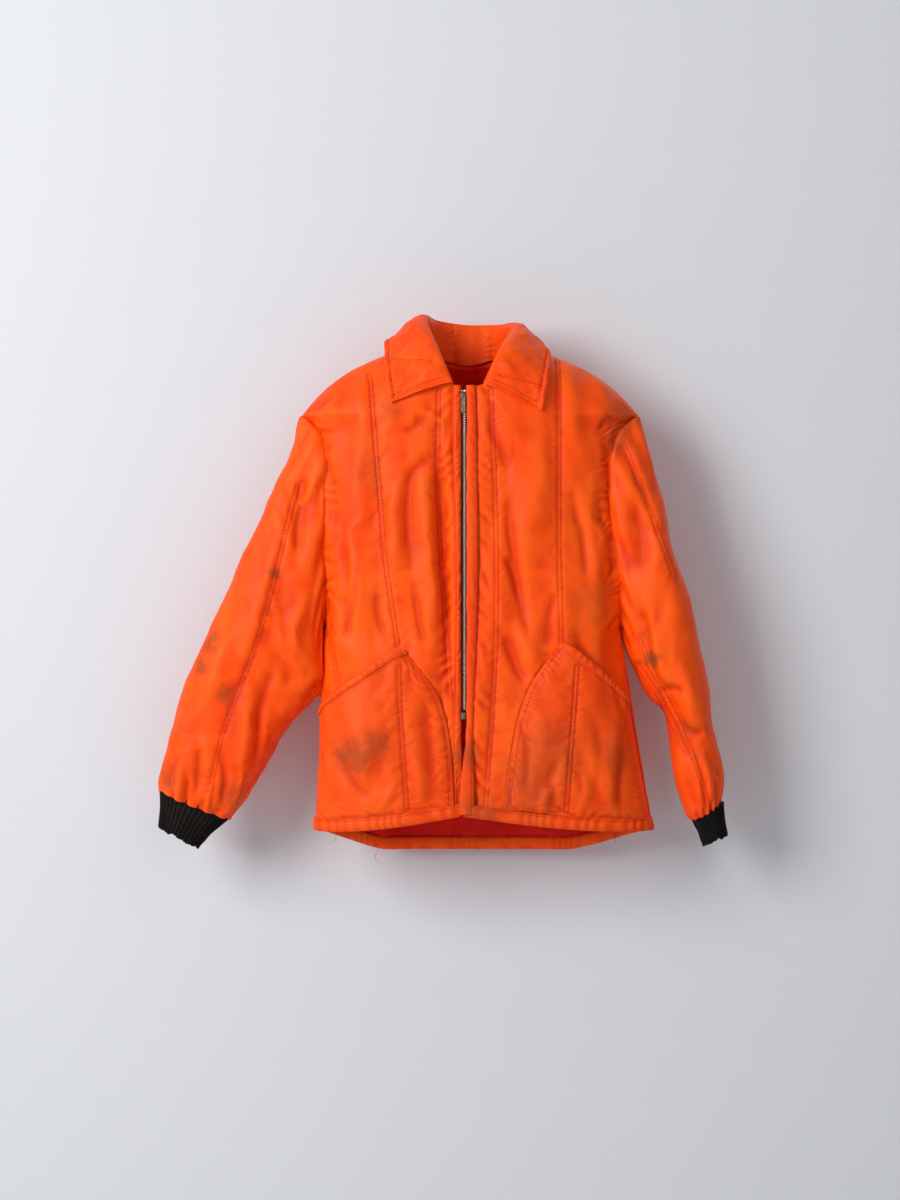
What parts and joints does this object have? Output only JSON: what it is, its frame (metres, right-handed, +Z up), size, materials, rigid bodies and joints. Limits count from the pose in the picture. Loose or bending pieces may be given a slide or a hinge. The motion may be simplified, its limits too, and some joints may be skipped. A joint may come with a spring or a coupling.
{
  "type": "quilted zip jacket",
  "caption": "Long-sleeved blaze orange quilted jacket with a fold-down collar, full front zip, slanted patch pockets and dark rib-knit cuffs, hanging as on a coat hanger.",
  "frame": {"origin": "middle of the neck opening at the height of the shoulder seams, where a hanger carries the jacket", "axes": "+X towards the wearer's left, -Y towards the front, +Z up"},
  "size_m": [0.7978, 0.1783, 0.7514],
  "materials": {
    "shell": "blaze orange woven nylon with a slight sheen, quilted and worn",
    "lining": "deep red-orange woven nylon lining",
    "batting": "matt off-white polyester wadding",
    "knit": "matt dark olive-black rib knit",
    "zip_tape": "matt dark woven tape",
    "zip_metal": "worn pale metal teeth",
    "slider_metal": "dull antique nickel"
  },
  "bodies": {
    "jacket": {"right_front_shell": "shell", "right_front_batting": "batting", "right_front_lining": "lining", "left_front_shell": "shell", "left_front_batting": "batting", "left_front_lining": "lining", "back_shell": "shell", "back_batting": "batting", "back_lining": "lining", "right_front_hem_band": "shell", "left_front_hem_band": "shell", "back_hem_band": "shell", "right_pocket": "shell", "right_pocket_facing": "shell", "left_pocket": "shell", "left_pocket_facing": "shell", "right_zip_teeth": "zip_metal", "right_zip_tape": "zip_tape", "right_zip_top_stop": "zip_metal", "right_front_placket": "shell", "right_fly_facing": "lining", "left_zip_teeth": "zip_metal", "left_zip_tape": "zip_tape", "left_zip_top_stop": "zip_metal", "left_front_placket": "shell", "left_fly_facing": "lining", "zip_retainer_box": "slider_metal", "zip_insertion_pin": "slider_metal", "collar_stand": "shell", "collar_stand_facing": "shell", "undercollar": "shell", "collar_interlining": "batting", "collar_leaf": "shell"},
    "right_sleeve": {"right_sleeve_shell": "shell", "right_sleeve_batting": "batting", "right_sleeve_lining": "lining", "right_cuff": "knit"},
    "left_sleeve": {"left_sleeve_shell": "shell", "left_sleeve_batting": "batting", "left_sleeve_lining": "lining", "left_cuff": "knit"},
    "slider": {"zip_slider": "slider_metal"},
    "pull_tab": {"zip_pull_tab": "slider_metal"}
  },
  "joints": [
    {"name": "right_sleeve_swing", "type": "hinge", "parent": "jacket", "child": "right_sleeve", "pos_m": [-0.231, 0, -0.092], "axis": [0, 1, 0], "range_deg": [0, 40]},
    {"name": "left_sleeve_swing", "type": "hinge", "parent": "jacket", "child": "left_sleeve", "pos_m": [0.238, 0, -0.092], "axis": [0, -1, 0], "range_deg": [0, 40]},
    {"name": "zip_slide", "type": "slide", "parent": "jacket", "child": "slider", "axis": [0, 0, -1], "range_m": [0, 0.423]},
    {"name": "pull_tab_swing", "type": "hinge", "parent": "slider", "child": "pull_tab", "pos_m": [-0.007, -0.07465, -0.0697], "axis": [-1, 0, 0], "range_deg": [0, 170]}
  ]
}
